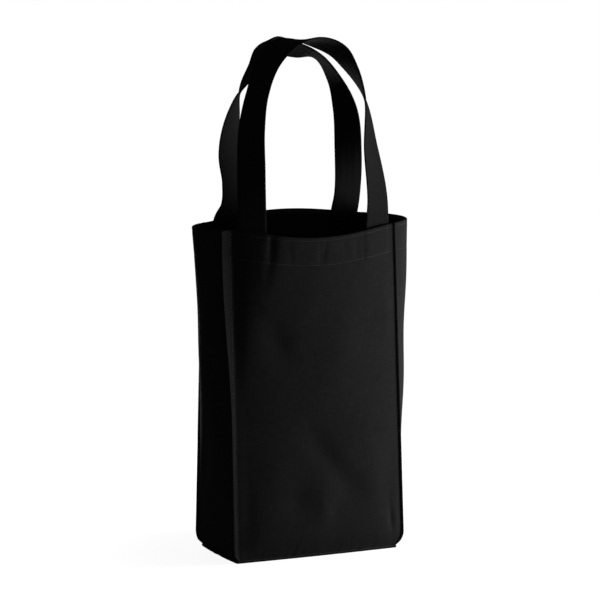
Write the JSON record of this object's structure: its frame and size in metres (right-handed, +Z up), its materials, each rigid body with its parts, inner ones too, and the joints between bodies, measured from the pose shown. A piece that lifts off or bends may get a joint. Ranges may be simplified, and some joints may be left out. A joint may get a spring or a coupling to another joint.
{
  "type": "bottle carrier",
  "caption": "Soft black canvas bottle carrier: an open-topped boxy bag with gusseted sides, a hanging inner divider and webbing loop handles.",
  "frame": {"origin": "middle of the base's underside, where the bag stands", "axes": "+Z up along the bag's height, front panel faces -Y, +X to the right seen from the front"},
  "size_m": [0.212, 0.1041, 0.4677],
  "materials": {
    "canvas": "black cotton canvas, matt, fine twill weave",
    "webbing": "black cotton webbing, ribbed herringbone weave"
  },
  "bodies": {
    "bag": {"front_panel": "canvas", "back_panel": "canvas", "left_gusset": "canvas", "right_gusset": "canvas", "base_panel": "canvas", "front_handle_end_left": "webbing", "front_handle_end_right": "webbing", "back_handle_end_left": "webbing", "back_handle_end_right": "webbing", "divider_tab_front": "canvas", "divider_tab_back": "canvas"},
    "front_handle": {"front_handle": "webbing"},
    "back_handle": {"back_handle": "webbing"},
    "divider": {"divider": "canvas"}
  },
  "joints": [
    {"name": "front_handle_swing", "type": "hinge", "parent": "bag", "child": "front_handle", "pos_m": [0, -0.039, 0.2985], "axis": [1, 0, 0], "range_deg": [-6.5, 160]},
    {"name": "back_handle_swing", "type": "hinge", "parent": "bag", "child": "back_handle", "pos_m": [0, 0.039, 0.2985], "axis": [-1, 0, 0], "range_deg": [-6.5, 160]},
    {"name": "divider_swing", "type": "hinge", "parent": "bag", "child": "divider", "pos_m": [0, 0, 0.27285], "axis": [0, 1, 0], "range_deg": [-16, 16]}
  ]
}
